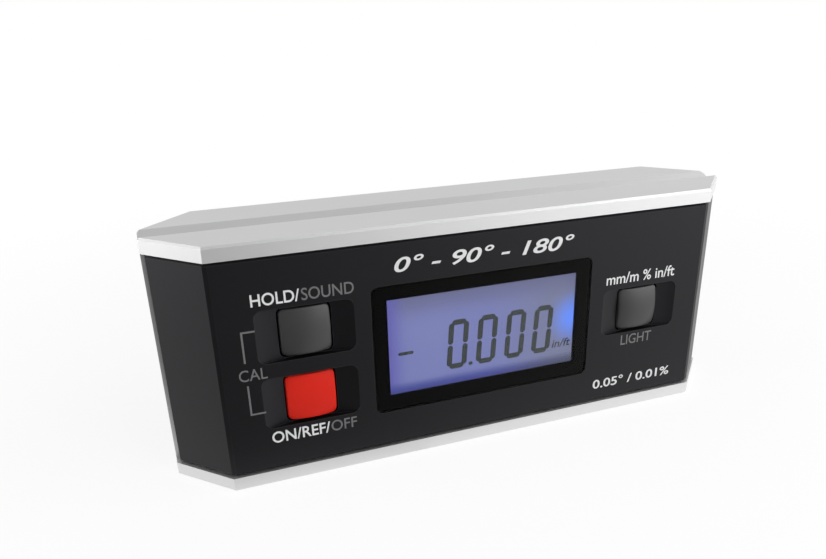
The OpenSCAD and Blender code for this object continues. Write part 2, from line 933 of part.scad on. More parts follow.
module door_gasket() {
    color("#101012")
        at([battery_x, mid_z])
            upright(door_face - door_gasket_t, door_face)
                ring_rect(gasket_len, gasket_h, door_gasket_w);
}

module door_screws() {
    color("gray")
        for (place = door_places)
            at(place)
                translate([0, rear_face - door_head_sink, 0])
                    screw(small_screw_d, door_screw_grip, small_head_d, small_head_h);
}

// The long cover screws and the board screws
module cover_screws() {
    seat_y = rear_face - cover_head_sink - cover_head_h;
    color("gray")
        for (place = cover_places)
            at(place)
                translate([0, seat_y, 0])
                    screw(cover_screw_d, seat_y - rim_y + cover_screw_grip, cover_head_d, cover_head_h);
}

module board_screws() {
    color("gray")
        for (place = board_places)
            at(place)
                translate([0, board_back, 0])
                    screw(small_screw_d, board_t + board_screw_grip, small_head_d, small_head_h);
}

frame();
front_cover();
rear_cover();
front_gasket();
rear_gasket();
display_lens();
lens_mask();
lcd_panel();
light_guide();
backlight_led();
contact_strips();
lcd_holder();
main_board();
controller_chip();
board_parts();
buzzer();
key_switches();
hold_key();
power_key();
unit_key();
hold_plunger();
power_plunger();
unit_plunger();
tilt_sensor();
sensor_screws();
battery_cells();
battery_springs();
battery_plates();
battery_door();
door_gasket();
door_screws();
cover_screws();
board_screws();
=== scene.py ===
# %% [markdown]
# A digital angle gauge is a bar of aluminium with a black moulded cover on each side. The solids come from
# the CAD model, already in place and in metres. Blender adds what a drawing leaves out: soft key caps,
# printed marks, the segments of the display, and a finish for every surface.

# %% Load the solids
import math
import bpy
from mathutils import Matrix, Vector


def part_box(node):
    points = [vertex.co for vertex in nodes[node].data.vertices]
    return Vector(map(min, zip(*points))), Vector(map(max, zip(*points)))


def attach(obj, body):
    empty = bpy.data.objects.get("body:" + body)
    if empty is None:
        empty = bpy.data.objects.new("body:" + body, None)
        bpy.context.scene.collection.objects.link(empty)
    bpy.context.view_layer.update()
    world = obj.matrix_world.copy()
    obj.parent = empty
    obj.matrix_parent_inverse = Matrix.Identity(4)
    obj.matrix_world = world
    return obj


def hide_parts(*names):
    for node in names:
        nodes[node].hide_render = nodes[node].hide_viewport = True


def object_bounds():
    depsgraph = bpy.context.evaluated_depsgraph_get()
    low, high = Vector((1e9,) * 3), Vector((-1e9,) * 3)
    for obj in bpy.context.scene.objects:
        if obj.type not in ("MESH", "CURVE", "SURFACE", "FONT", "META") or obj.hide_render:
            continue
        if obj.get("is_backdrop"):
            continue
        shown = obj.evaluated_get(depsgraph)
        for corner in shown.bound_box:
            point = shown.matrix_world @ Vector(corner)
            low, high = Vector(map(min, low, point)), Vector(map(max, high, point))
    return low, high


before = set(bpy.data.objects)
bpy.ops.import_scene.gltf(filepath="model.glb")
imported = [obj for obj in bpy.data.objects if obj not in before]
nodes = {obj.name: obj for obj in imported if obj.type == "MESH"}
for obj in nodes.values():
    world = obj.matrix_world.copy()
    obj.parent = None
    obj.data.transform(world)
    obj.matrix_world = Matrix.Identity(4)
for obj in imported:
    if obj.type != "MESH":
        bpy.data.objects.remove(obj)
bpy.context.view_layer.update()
MM = 0.001

# %% [markdown]
# The camera comes first, because every later choice is judged through it. The gauge is seen from its upper
# left, close enough that its upright edges lean together. Focal length, place and tilt are set as numbers,
# so that the straight edges fall where they should in a frame of 826 by 559 pixels.

# %% Camera
IMAGE_W, IMAGE_H = 826, 559
FOCAL_PX = 753.55
AXIS_PX = (444.42, 326.01)
SENSOR_W = 36.0
NEAREST = 0.01
CAMERA_AT = (-70.21 * MM, -171.73 * MM, 105.82 * MM)
YAW, PITCH, ROLL = (math.radians(a) for a in (20.878, 23.396, -0.753))
forward = Vector((math.sin(YAW) * math.cos(PITCH), math.cos(YAW) * math.cos(PITCH), -math.sin(PITCH)))
level = Vector((math.cos(YAW), -math.sin(YAW), 0))
above = level.cross(forward)
right = level * math.cos(ROLL) + above * math.sin(ROLL)
up = above * math.cos(ROLL) - level * math.sin(ROLL)
turn = Matrix((right, up, -forward)).transposed()
bpy.ops.object.camera_add(location=CAMERA_AT, rotation=turn.to_euler())
camera = bpy.context.object
camera.data.sensor_width = SENSOR_W
camera.data.lens = FOCAL_PX / IMAGE_W * SENSOR_W
camera.data.shift_x = (IMAGE_W / 2 - AXIS_PX[0]) / IMAGE_W
camera.data.shift_y = (AXIS_PX[1] - IMAGE_H / 2) / IMAGE_W
camera.data.clip_start = NEAREST
bpy.context.scene.camera = camera
bpy.context.scene.view_settings.view_transform = "Standard"
print("lens in mm:", round(camera.data.lens, 2))

# %% [markdown]
# Every finish is a tree of nodes joined by links. It could be drawn by hand in the shader editor, but a
# script can be read and run again. A few helpers keep it short: they write a grey as a colour, add a
# node, feed a socket with a link or a plain value, do sums, turn a stretch of one value into a soft
# ramp, and take a vector apart.


# %% Node helpers
def grey(value):
    return (value, value, value, 1)


def add(tree, kind, **settings):
    made = tree.nodes.new(kind)
    for name, value in settings.items():
        setattr(made, name, value)
    return made


def feed(tree, socket, value):
    """Links an output to a socket, or sets a plain value on it."""
    if hasattr(value, "is_output"):
        tree.links.new(value, socket)
    else:
        socket.default_value = value


def math_node(tree, operation, a, b, clamp=False):
    made = add(tree, "ShaderNodeMath", operation=operation, use_clamp=clamp)
    feed(tree, made.inputs[0], a)
    feed(tree, made.inputs[1], b)
    return made.outputs[0]


def ramp(tree, value, start, end, low=0.0, high=1.0, kind="SMOOTHSTEP"):
    """Goes from low to high while the value goes from start to end."""
    made = add(tree, "ShaderNodeMapRange", interpolation_type=kind)
    tree.links.new(value, made.inputs["Value"])
    for name, number in (("From Min", start), ("From Max", end), ("To Min", low), ("To Max", high)):
        made.inputs[name].default_value = number
    return made.outputs["Result"]


def parts_of(tree, vector):
    """The X, Y and Z outputs of a vector."""
    made = add(tree, "ShaderNodeSeparateXYZ")
    tree.links.new(vector, made.inputs[0])
    return made.outputs


print("node helpers ready")

# %% [markdown]
# Blending is the most common step of all. One Mix node serves for values and for colours, but it keeps a
# row of sockets for each kind, so the numbers of the sockets are written down once.

# %% Blends
MIX_SOCKETS = {"FLOAT": (2, 3, 0), "RGBA": (6, 7, 2)}


def blend(tree, kind, factor, low, high):
    made = add(tree, "ShaderNodeMix", data_type=kind)
    low_at, high_at, result_at = MIX_SOCKETS[kind]
    feed(tree, made.inputs[0], factor)
    feed(tree, made.inputs[low_at], low)
    feed(tree, made.inputs[high_at], high)
    return made.outputs[result_at]


def blend_value(tree, factor, low, high):
    return blend(tree, "FLOAT", factor, low, high)


def blend_color(tree, factor, low, high):
    return blend(tree, "RGBA", factor, low, high)


def mix_shaders(tree, share, plain, shown, output):
    """Ends a tree with a mix of two shaders: the share says how much of the shown one is seen."""
    mixed = add(tree, "ShaderNodeMixShader")
    for socket, source in zip(mixed.inputs, (share, plain.outputs[0], shown.outputs[0])):
        tree.links.new(source, socket)
    tree.links.new(mixed.outputs[0], add(tree, output).inputs[0])


print("blends for:", list(MIX_SOCKETS))

# %% [markdown]
# The surround is a white room, a little darker overhead. Rays that come straight from the camera,
# or through glass, see all of it, while the light that it sheds on the gauge is weak, so that the
# lamps can shade. A glossy face shows what it mirrors, so glossy rays see less of the room in
# front, where the camera would stand.

# %% Surround
ROOM_WHITE, ROOM_TOP = grey(1), grey(0.6)
TOP_FROM, TOP_TO = 0.45, 0.95
FRONT_FROM, FRONT_TO, FRONT_SHARE = -0.6, 0.1, 0.3
ROOM_LIGHT, ROOM_TINT = 0.3, (0.95, 0.97, 1, 1)


def seen_directly(tree, camera_share=1.0, gloss_share=1.0):
    """How much of the shown studio a ray sees: one share for the camera's rays, one for glossy ones."""
    path = add(tree, "ShaderNodeLightPath")
    direct = math_node(tree, "MULTIPLY", path.outputs["Is Camera Ray"], camera_share)
    gloss = math_node(tree, "MULTIPLY", path.outputs["Is Glossy Ray"], gloss_share)
    straight = math_node(tree, "ADD", direct, gloss, True)
    return math_node(tree, "ADD", straight, path.outputs["Is Transmission Ray"], True)


world = bpy.data.worlds.new("studio")
bpy.context.scene.world = world
world.use_nodes = True
sky = world.node_tree
sky.nodes.clear()
heading = parts_of(sky, add(sky, "ShaderNodeTexCoord").outputs["Generated"])
shown_sky = add(sky, "ShaderNodeBackground")
overhead = ramp(sky, heading["Z"], TOP_FROM, TOP_TO)
sky.links.new(blend_color(sky, overhead, ROOM_WHITE, ROOM_TOP), shown_sky.inputs["Color"])
lit_sky = add(sky, "ShaderNodeBackground")
lit_sky.inputs["Color"].default_value = ROOM_TINT
lit_sky.inputs["Strength"].default_value = ROOM_LIGHT
behind = ramp(sky, heading["Y"], FRONT_FROM, FRONT_TO, FRONT_SHARE)
mix_shaders(sky, seen_directly(sky, gloss_share=behind), lit_sky, shown_sky, "ShaderNodeOutputWorld")
print("surround sheds light of strength", ROOM_LIGHT)

# %% [markdown]
# The floor is a pale plane. Away from the gauge the camera sees plain white, while close to it the floor
# keeps part of its own shading, which is a soft shadow.

# %% Floor
FLOOR_SIZE, FLOOR_DROP = 6, 0.1 * MM
SHADOW_FROM, SHADOW_TO, SHADOW_SHARE = 0.08, 0.3, 0.85
bpy.ops.object.select_all(action="DESELECT")
bpy.ops.mesh.primitive_plane_add(size=FLOOR_SIZE, location=(0, 0, -FLOOR_DROP))
floor = bpy.context.object
floor.name = "floor"
floor_finish = bpy.data.materials.new("pale floor")
floor_finish.use_nodes = True
tree = floor_finish.node_tree
tree.nodes.clear()
on_floor = add(tree, "ShaderNodeTexCoord").outputs["Object"]
from_middle = add(tree, "ShaderNodeVectorMath", operation="LENGTH")
tree.links.new(on_floor, from_middle.inputs[0])
plain_share = ramp(tree, from_middle.outputs["Value"], SHADOW_FROM, SHADOW_TO, SHADOW_SHARE)
print("floor of", FLOOR_SIZE, "metres")

# %% [markdown]
# A studio hangs cards for glossy faces to mirror. Here the floor plays the cards, for glossy rays
# alone: in front it is dark at the left and turns bright towards the right, which gives the black
# cover its slow change of tone, and a bright strip runs along the foot. The way a ray is heading,
# laid flat, picks its card.

# %% Cards on the floor
CARD_FROM, CARD_TO, CARD_DARK, CARD_BRIGHT = -0.03, 0.6, 0.2, 1.2
AHEAD_FROM, AHEAD_TO, ASIDE = -0.1, -0.6, 0.8
FOOT_FROM, FOOT_TO, FOOT_LEVEL, FOOT_GAIN = -0.032, -0.018, 1.0, 0.2
laid_flat = add(tree, "ShaderNodeVectorMath", operation="MULTIPLY")
tree.links.new(add(tree, "ShaderNodeNewGeometry").outputs["Incoming"], laid_flat.inputs[0])
laid_flat.inputs[1].default_value = (-1, -1, 0)
unit_long = add(tree, "ShaderNodeVectorMath", operation="NORMALIZE")
tree.links.new(laid_flat.outputs[0], unit_long.inputs[0])
heading = parts_of(tree, unit_long.outputs[0])
card = ramp(tree, heading["X"], CARD_FROM, CARD_TO, CARD_DARK, CARD_BRIGHT, "LINEAR")
mirrored = blend_value(tree, ramp(tree, heading["Y"], AHEAD_FROM, AHEAD_TO), ASIDE, card)
strip = math_node(tree, "ADD", math_node(tree, "MULTIPLY", card, FOOT_GAIN), FOOT_LEVEL)
at_foot = ramp(tree, parts_of(tree, on_floor)["Y"], FOOT_FROM, FOOT_TO)
mirrored = blend_value(tree, at_foot, mirrored, strip)
print("cards from", CARD_DARK, "to", CARD_BRIGHT)

# %% [markdown]
# The floor's own shader is a matt white, which takes the shadow. Over it goes plain light: white for the
# camera, and the cards for glossy rays.

# %% Floor shader
FLOOR_WHITE = grey(0.9)
white = add(tree, "ShaderNodeEmission")
by_gloss = add(tree, "ShaderNodeLightPath").outputs["Is Glossy Ray"]
tree.links.new(blend_value(tree, by_gloss, 1.0, mirrored), white.inputs["Strength"])
white.inputs["Color"].default_value = grey(1)
matt = add(tree, "ShaderNodeBsdfDiffuse")
matt.inputs["Color"].default_value = FLOOR_WHITE
mix_shaders(tree, seen_directly(tree, plain_share), matt, white, "ShaderNodeOutputMaterial")
floor.data.materials.append(floor_finish)
floor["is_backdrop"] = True
print("floor finish:", floor_finish.name)

# %% [markdown]
# Three soft lamps do the shading: one at the right front, which lights the right end most, a low one at the
# left for the slanted end, and a high one in front for the keys and the print. The high one is large and
# would put a flat sheen on the rails, so it is left out of reflections.


# %% Lamps
def softbox(name, place, aim, width, power):
    beam = Vector(aim) - Vector(place)
    bpy.ops.object.light_add(type="AREA", location=place, rotation=beam.to_track_quat("-Z", "Y").to_euler())
    lamp = bpy.context.object
    lamp.name = name
    lamp.data.size = width
    lamp.data.energy = power
    return lamp


MIDDLE = (0, 0, 30 * MM)
RIGHT_HALF = (40 * MM, 0, 30 * MM)
softbox("right lamp", place=(0.34, -0.28, 0.22), aim=RIGHT_HALF, width=0.6, power=2.9)
softbox("left lamp", place=(-0.5, 0.02, 0.16), aim=MIDDLE, width=0.36, power=1.5)
high_lamp = softbox("high lamp", place=(-0.1, -0.6, 0.75), aim=MIDDLE, width=1.3, power=2.6)
high_lamp.visible_glossy = False

# %% [markdown]
# Several finishes share the same effects, so each effect is a node group, built once. Moulded grain gives a
# plastic its slightly uneven tone, gloss and surface. It reads object coordinates, so a pattern keeps its
# true size in millimetres on every piece.

# %% Group for moulded grain
COLOR, VALUE = "NodeSocketColor", "NodeSocketFloat"
SURFACE = [("Color", COLOR), ("Roughness", VALUE), ("Height", VALUE)]


def new_group(name, inputs, outputs):
    group = bpy.data.node_groups.new(name, "ShaderNodeTree")
    for way, sockets in (("INPUT", inputs), ("OUTPUT", outputs)):
        for label, kind in sockets:
            group.interface.new_socket(label, in_out=way, socket_type=kind)
    return group, add(group, "NodeGroupInput").outputs, add(group, "NodeGroupOutput").inputs


def object_place(tree):
    return add(tree, "ShaderNodeTexCoord").outputs["Object"]


def noise(tree, vector, scale, detail=2.0):
    made = add(tree, "ShaderNodeTexNoise")
    tree.links.new(vector, made.inputs["Vector"])
    made.inputs["Scale"].default_value = scale
    made.inputs["Detail"].default_value = detail
    return made.outputs["Fac"]


CLOUDS_PER_METRE, GRAINS_PER_METRE, SPECK_SHARE = 90.0, 9000.0, 0.3
grain, given, result = new_group(
    "moulded grain",
    [("Dark", COLOR), ("Light", COLOR), ("Gloss side", VALUE), ("Matt side", VALUE)],
    SURFACE)
at = object_place(grain)
speck = noise(grain, at, GRAINS_PER_METRE)
both = blend_value(grain, SPECK_SHARE, noise(grain, at, CLOUDS_PER_METRE, detail=3.0), speck)
grain.links.new(blend_color(grain, both, given["Dark"], given["Light"]), result["Color"])
grain.links.new(blend_value(grain, both, given["Gloss side"], given["Matt side"]), result["Roughness"])
grain.links.new(speck, result["Height"])
print("group:", grain.name)

# %% [markdown]
# The rails are drawn and ground along their length, which leaves faint straight lines. Noise
# that is stretched along X and squeezed across it gives such lines, and a broader noise
# keeps them from looking even.

# %% Group for drawn lines
LINES_PER_METRE, BROAD_PER_METRE, BROAD_SHARE = 5200.0, 45.0, 0.45
STRETCH = (0.012, 1, 1)
lines, given, result = new_group(
    "drawn lines",
    [("Dark", COLOR), ("Light", COLOR), ("Smooth", VALUE), ("Rough", VALUE)],
    SURFACE)
at = object_place(lines)
stretched = add(lines, "ShaderNodeMapping")
stretched.inputs["Scale"].default_value = STRETCH
lines.links.new(at, stretched.inputs["Vector"])
fine = noise(lines, stretched.outputs[0], LINES_PER_METRE, detail=3.0)
both = blend_value(lines, BROAD_SHARE, fine, noise(lines, at, BROAD_PER_METRE))
lines.links.new(blend_color(lines, both, given["Dark"], given["Light"]), result["Color"])
lines.links.new(blend_value(lines, both, given["Smooth"], given["Rough"]), result["Roughness"])
lines.links.new(fine, result["Height"])
print("group:", lines.name)

# %% [markdown]
# Handling rubs the edges of a tool smooth, and a rounded edge catches the light. This group marks the edges
# that the
# finishes paint lighter than their faces: partly worn, partly a painted highlight. The Bevel node looks
# round a corner, and where its normal leaves the face's own normal there is an edge. Painting the edges by
# hand would have to be done again for every change.

# %% Group for worn and highlit edges
EDGE_REACH, EDGE_GAIN = 0.25 * MM, 6.0
edges, given, result = new_group("worn and highlit edges", [("Strength", VALUE)], [("Edge", VALUE)])
rounded = add(edges, "ShaderNodeBevel", samples=4)
rounded.inputs["Radius"].default_value = EDGE_REACH
facing = add(edges, "ShaderNodeVectorMath", operation="DOT_PRODUCT")
edges.links.new(rounded.outputs[0], facing.inputs[0])
edges.links.new(add(edges, "ShaderNodeNewGeometry").outputs["Normal"], facing.inputs[1])
# The mask marks every edge, which the finishes paint lighter: partly worn, partly a painted highlight.
bent = math_node(edges, "SUBTRACT", 1.0, facing.outputs["Value"])
edge = math_node(edges, "MULTIPLY", bent, EDGE_GAIN, True)
edges.links.new(math_node(edges, "MULTIPLY", edge, given["Strength"], True), result["Edge"])
print("group:", edges.name)

# %% [markdown]
# One helper builds each plastic, rubber or metal from these groups: grain or lines for the tone,
# lighter edges mixed over it, partly worn and partly a painted highlight, and a small bump. Values
# that are the same all over, such as metallic, are set on the shader itself.

# %% Finish helpers
RELIEF = 0.02 * MM


def new_finish(name):
    made = bpy.data.materials.new(name)
    made.use_nodes = True
    return made, made.node_tree, made.node_tree.nodes["Principled BSDF"]


def place_group(tree, group, **values):
    made = add(tree, "ShaderNodeGroup", node_tree=group)
    for name, value in values.items():
        made.inputs[name.replace("_", " ")].default_value = value
    return made.outputs


def finish(name, group, bump, edge=None, wear_and_highlight=0.5, shader_values=(), **values):
    made, tree, shader = new_finish(name)
    surface = place_group(tree, group, **values)
    color = surface["Color"]
    # The edge colour is painted over the edges: partly worn, partly a painted highlight where a rounded edge
    # catches the light.
    if edge:
        color = blend_color(tree, place_group(tree, edges, Strength=wear_and_highlight)["Edge"], color, edge)
    relief = add(tree, "ShaderNodeBump")
    relief.inputs["Strength"].default_value = bump
    relief.inputs["Distance"].default_value = RELIEF
    tree.links.new(surface["Height"], relief.inputs["Height"])
    tree.links.new(color, shader.inputs["Base Color"])
    tree.links.new(surface["Roughness"], shader.inputs["Roughness"])
    tree.links.new(relief.outputs[0], shader.inputs["Normal"])
    for socket, value in dict(shader_values).items():
        shader.inputs[socket].default_value = value
    return made


print("bump of the finishes in mm:", RELIEF / MM)

# %% [markdown]
# Four finishes make up what is seen from outside. The frame is satin aluminium. The covers are a
# black plastic of low gloss, whose tone comes almost only from what they mirror. The keys are a
# softer grey and a full red.

# %% Finishes of the outer pieces
METAL = {"Metallic": 1.0}
GLOSS = "Specular IOR Level"
# Each edge colour here is lighter than its surface: a painted highlight along the edges, together with worn
# edges.
aluminium = finish("satin aluminium", lines, bump=0.12, edge=grey(0.8), wear_and_highlight=0.6, shader_values=METAL,
                   Dark=grey(0.6), Light=grey(0.68), Smooth=0.5, Rough=0.6)
black_plastic = finish("black moulded plastic", grain, bump=0.2, edge=(0.05, 0.05, 0.052, 1), wear_and_highlight=0.5,
                       shader_values={GLOSS: 0.28, "Specular Tint": (0.95, 0.93, 1, 1)},
                       Dark=(0.0011, 0.001, 0.0013, 1), Light=(0.0022, 0.0021, 0.0026, 1),
                       Gloss_side=0.4, Matt_side=0.5)
grey_key = finish("grey key plastic", grain, bump=0.15, edge=grey(0.09), wear_and_highlight=0.4,
                  shader_values={GLOSS: 0.5},
                  Dark=grey(0.022), Light=grey(0.032), Gloss_side=0.36, Matt_side=0.46)
red_key = finish("red key plastic", grain, bump=0.15, edge=(0.8, 0.06, 0.04, 1), wear_and_highlight=0.3,
                 shader_values={GLOSS: 0.1},
                 Dark=(0.49, 0.013, 0.006, 1), Light=(0.58, 0.018, 0.009, 1), Gloss_side=0.4, Matt_side=0.52)
print("finishes:", [m.name for m in (aluminium, black_plastic, grey_key, red_key)])

# %% [markdown]
# The inner plastics are seldom seen, but each still gets its own finish, so that the part looks right when
# a cover is taken off: rubber seals, the black print behind the window, white and frosted plastic, a
# lacquered green board, the moulding of a chip, and the sleeve of a cell.

# %% Finishes of the inner plastics
rubber = finish("seal rubber", grain, bump=0.4,
                Dark=grey(0.012), Light=grey(0.025), Gloss_side=0.65, Matt_side=0.85)
mask_ink = finish("black lens print", grain, bump=0.05, shader_values={GLOSS: 0.3},
                  Dark=grey(0.002), Light=grey(0.003), Gloss_side=0.25, Matt_side=0.35)
white_plastic = finish("white inner plastic", grain, bump=0.1, edge=grey(0.85), wear_and_highlight=0.3,
                       Dark=grey(0.66), Light=grey(0.74), Gloss_side=0.4, Matt_side=0.5)
frosted = finish("frosted light guide", grain, bump=0.1, edge=(0.8, 0.9, 1, 1), wear_and_highlight=0.4,
                 Dark=(0.55, 0.62, 0.78, 1), Light=(0.66, 0.72, 0.86, 1), Gloss_side=0.25, Matt_side=0.4)
green_board = finish("green board lacquer", grain, bump=0.2, edge=(0.5, 0.42, 0.22, 1), wear_and_highlight=0.6,
                     Dark=(0.012, 0.1, 0.035, 1), Light=(0.02, 0.15, 0.05, 1),
                     Gloss_side=0.22, Matt_side=0.36)
chip_plastic = finish("chip moulding", grain, bump=0.3, edge=grey(0.06), wear_and_highlight=0.4,
                      Dark=grey(0.014), Light=grey(0.026), Gloss_side=0.5, Matt_side=0.65)
cell_sleeve = finish("cell sleeve", grain, bump=0.1, edge=grey(0.5), wear_and_highlight=0.3,
                     Dark=(0.03, 0.13, 0.3, 1), Light=(0.045, 0.17, 0.36, 1),
                     Gloss_side=0.25, Matt_side=0.38)
print("inner plastics made, the last one is", cell_sleeve.name)

# %% [markdown]
# The inner metals are plated steel for springs, plates and switch housings, zinc plated screws, and
# the brass case of the tilt sensor. They share the drawn lines of the rails, with a smoother
# surface and their own colours.

# %% Finishes of the inner metals
plated_steel = finish("plated steel", lines, bump=0.08, edge=grey(0.75), wear_and_highlight=0.4, shader_values=METAL,
                      Dark=grey(0.52), Light=grey(0.62), Smooth=0.22, Rough=0.34)
screw_steel = finish("zinc plated screw steel", lines, bump=0.1, edge=grey(0.6), wear_and_highlight=0.6,
                     shader_values=METAL,
                     Dark=(0.34, 0.34, 0.35, 1), Light=grey(0.46), Smooth=0.3, Rough=0.42)
brass = finish("plain brass", lines, bump=0.08, edge=(0.8, 0.68, 0.4, 1), wear_and_highlight=0.4, shader_values=METAL,
               Dark=(0.58, 0.45, 0.22, 1), Light=(0.68, 0.54, 0.28, 1), Smooth=0.25, Rough=0.4)
print("inner metals:", [m.name for m in (plated_steel, screw_steel, brass)])

# %% [markdown]
# The display is lit from its right edge by one small lamp behind frosted plastic. So its colour is not
# even: a pale violet field, deeper blue along the left and lower rims, and greyer at the upper right. Each
# of these is a soft ramp over object coordinates, mixed into one colour.

# %% Field of the lit display
view_low, view_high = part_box("lens_mask")
BORDER = 3.8 * MM
left_x, right_x = view_low.x + BORDER, view_high.x - BORDER
low_z, high_z = view_low.z + BORDER, view_high.z - BORDER
FIELD_DARK, FIELD_LIGHT = (0.155, 0.175, 0.41, 1), (0.2, 0.225, 0.46, 1)
RIGHT_TONE, TOP_TONE, LEFT_TONE = (0.175, 0.19, 0.3, 1), (0.13, 0.137, 0.25, 1), (0.115, 0.11, 0.4, 1)
RIM_LEFT, RIM_RIGHT = (0.055, 0.065, 0.27, 1), (0.075, 0.082, 0.15, 1)
TOP_DEPTH, LEFT_DEPTH, RIM_DEPTH, RIM_BELOW = 8 * MM, 6 * MM, 2.6 * MM, 0.4 * MM
CLOUDS_ON_GLASS = 60.0
lit_display, tree, shader = new_finish("lit display")
spot = object_place(tree)
along = parts_of(tree, spot)
cloud = noise(tree, spot, CLOUDS_ON_GLASS)
field = blend_color(tree, cloud, FIELD_DARK, FIELD_LIGHT)
to_right = ramp(tree, along["X"], 0, right_x)
field = blend_color(tree, to_right, field, RIGHT_TONE)
field = blend_color(tree, ramp(tree, along["Z"], high_z - TOP_DEPTH, high_z), field, TOP_TONE)
field = blend_color(tree, ramp(tree, along["X"], left_x + LEFT_DEPTH, left_x), field, LEFT_TONE)
rim_tone = blend_color(tree, to_right, RIM_LEFT, RIM_RIGHT)
field = blend_color(tree, ramp(tree, along["Z"], low_z + RIM_DEPTH, low_z - RIM_BELOW), field, rim_tone)
print("lit area in mm:", round((right_x - left_x) / MM, 1), "by", round((high_z - low_z) / MM, 1))

# %% [markdown]
# Beside the lamp the field ends in a bright blue glow, a ramp over the distance from one point. The colour
# then goes into the emission of the glass, at a strength of 1, so that it renders as it is written. The
# glass itself is almost black and hardly mirrors.

# %% Glow of the lit display
glass_low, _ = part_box("lcd_panel")
lamp_low, lamp_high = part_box("backlight_led")
GLOW, GLOW_REACH = (0.13, 0.28, 1.0, 1), 9 * MM
GLOW_OUT, GLOW_DROP = 1 * MM, 0.5 * MM
GLASS_BLACK, GLASS_GLOSS = (0.01, 0.011, 0.02, 1), 0.1
GLASS_SMOOTH, GLASS_ROUGH = 0.3, 0.42
away = add(tree, "ShaderNodeVectorMath", operation="DISTANCE")
tree.links.new(spot, away.inputs[0])
away.inputs[1].default_value = (right_x + GLOW_OUT, glass_low.y, (lamp_low.z + lamp_high.z) / 2 - GLOW_DROP)
field = blend_color(tree, ramp(tree, away.outputs["Value"], GLOW_REACH, 0.0), field, GLOW)
tree.links.new(field, shader.inputs["Emission Color"])
shader.inputs["Emission Strength"].default_value = 1.0
shader.inputs["Base Color"].default_value = GLASS_BLACK
shader.inputs[GLOSS].default_value = GLASS_GLOSS
tree.links.new(blend_value(tree, cloud, GLASS_SMOOTH, GLASS_ROUGH), shader.inputs["Roughness"])
print("glow reaches", round(GLOW_REACH / MM, 1), "mm")

# %% [markdown]
# The window over the display is clear acrylic. It has full transmission and almost no roughness. Its IOR is
# set lower than that of acrylic, because the window should hardly mirror the room.

# %% Clear window
WINDOW_IOR, WINDOW_ROUGH = 1.2, 0.03
HAZE_PER_METRE, TINT_PER_METRE, WINDOW_TINT = 120.0, 40.0, grey(0.97)
clear_window, tree, shader = new_finish("clear window")
shader.inputs["Transmission Weight"].default_value = 1.0
shader.inputs["IOR"].default_value = WINDOW_IOR
at = object_place(tree)
haze = blend_value(tree, noise(tree, at, HAZE_PER_METRE), 0.0, WINDOW_ROUGH)
tint = blend_color(tree, noise(tree, at, TINT_PER_METRE), WINDOW_TINT, grey(1))
tree.links.new(haze, shader.inputs["Roughness"])
tree.links.new(tint, shader.inputs["Base Color"])
print("window with an IOR of", WINDOW_IOR)

# %% [markdown]
# The lamp beside the display is a small blue diode. It simply glows, a little unevenly, as its lens does.

# %% Blue lamp
LAMP_DEEP, LAMP_PALE, LAMP_BODY = (0.1, 0.25, 0.9, 1), (0.2, 0.4, 1, 1), (0.1, 0.2, 0.6, 1)
LAMP_CLOUDS = 900.0
lamp_glow, tree, shader = new_finish("blue lamp")
uneven = blend_color(tree, noise(tree, object_place(tree), LAMP_CLOUDS), LAMP_DEEP, LAMP_PALE)
tree.links.new(uneven, shader.inputs["Emission Color"])
shader.inputs["Emission Strength"].default_value = 1.0
shader.inputs["Base Color"].default_value = LAMP_BODY
print("lamp finish:", lamp_glow.name)

# %% [markdown]
# Each solid now takes its finish. Only its material slot changes: the mesh stays as the CAD model made it.

# %% Dress the solids
dress = {
    aluminium: ["frame"],
    black_plastic: ["front_cover", "rear_cover", "battery_door"],
    rubber: ["front_gasket", "rear_gasket", "door_gasket", "contact_strips"],
    clear_window: ["display_lens"],
    mask_ink: ["lens_mask"],
    lit_display: ["lcd_panel"],
    frosted: ["light_guide"],
    lamp_glow: ["backlight_led"],
    white_plastic: ["lcd_holder", "hold_plunger", "power_plunger", "unit_plunger"],
    green_board: ["main_board"],
    chip_plastic: ["controller_chip", "board_parts", "buzzer"],
    plated_steel: ["key_switches", "battery_springs", "battery_plates"],
    grey_key: ["hold_key", "unit_key"],
    red_key: ["power_key"],
    brass: ["tilt_sensor"],
    screw_steel: ["sensor_screws", "door_screws", "cover_screws", "board_screws"],
    cell_sleeve: ["battery_cells"],
}
for material, names in dress.items():
    for name in names:
        nodes[name].data.materials.clear()
        nodes[name].data.materials.append(material)
print("dressed:", sum(len(names) for names in dress.values()), "of", len(nodes))

# %% [markdown]
# New pieces are modelled as by hand: a block is added, faces or edges are selected by their place or their
# normal, and an operator shapes them. These helpers hold the steps that every piece needs. What repeats is
# modelled once and copied, each copy with a mesh of its own.

# %% Modelling helpers
FACING = 0.9


def settle():
    """Puts the place, turn and scale of the selected object into its mesh."""
    bpy.ops.object.transform_apply(location=True, rotation=True, scale=True)


def start_block(width, depth, height):
    """Adds a block round the origin and opens it in edit mode."""
    bpy.ops.object.select_all(action="DESELECT")
    bpy.ops.mesh.primitive_cube_add(size=1, scale=(width, depth, height))
    settle()
    bpy.ops.object.mode_set(mode="EDIT")
    return bpy.context.object


def choose(kind, test):
    """Selects the edges or faces of the mesh in edit mode that pass a test."""
    bpy.ops.mesh.select_mode(type=kind)
    bpy.ops.mesh.select_all(action="DESELECT")
    bpy.ops.object.mode_set(mode="OBJECT")
    mesh = bpy.context.object.data
    for item in {"EDGE": mesh.edges, "FACE": mesh.polygons}[kind]:
        item.select = test(item)
    bpy.ops.object.mode_set(mode="EDIT")


def push_out(x=0, y=0, z=0):
    bpy.ops.mesh.extrude_region_move(TRANSFORM_OT_translate={"value": (x, y, z)})


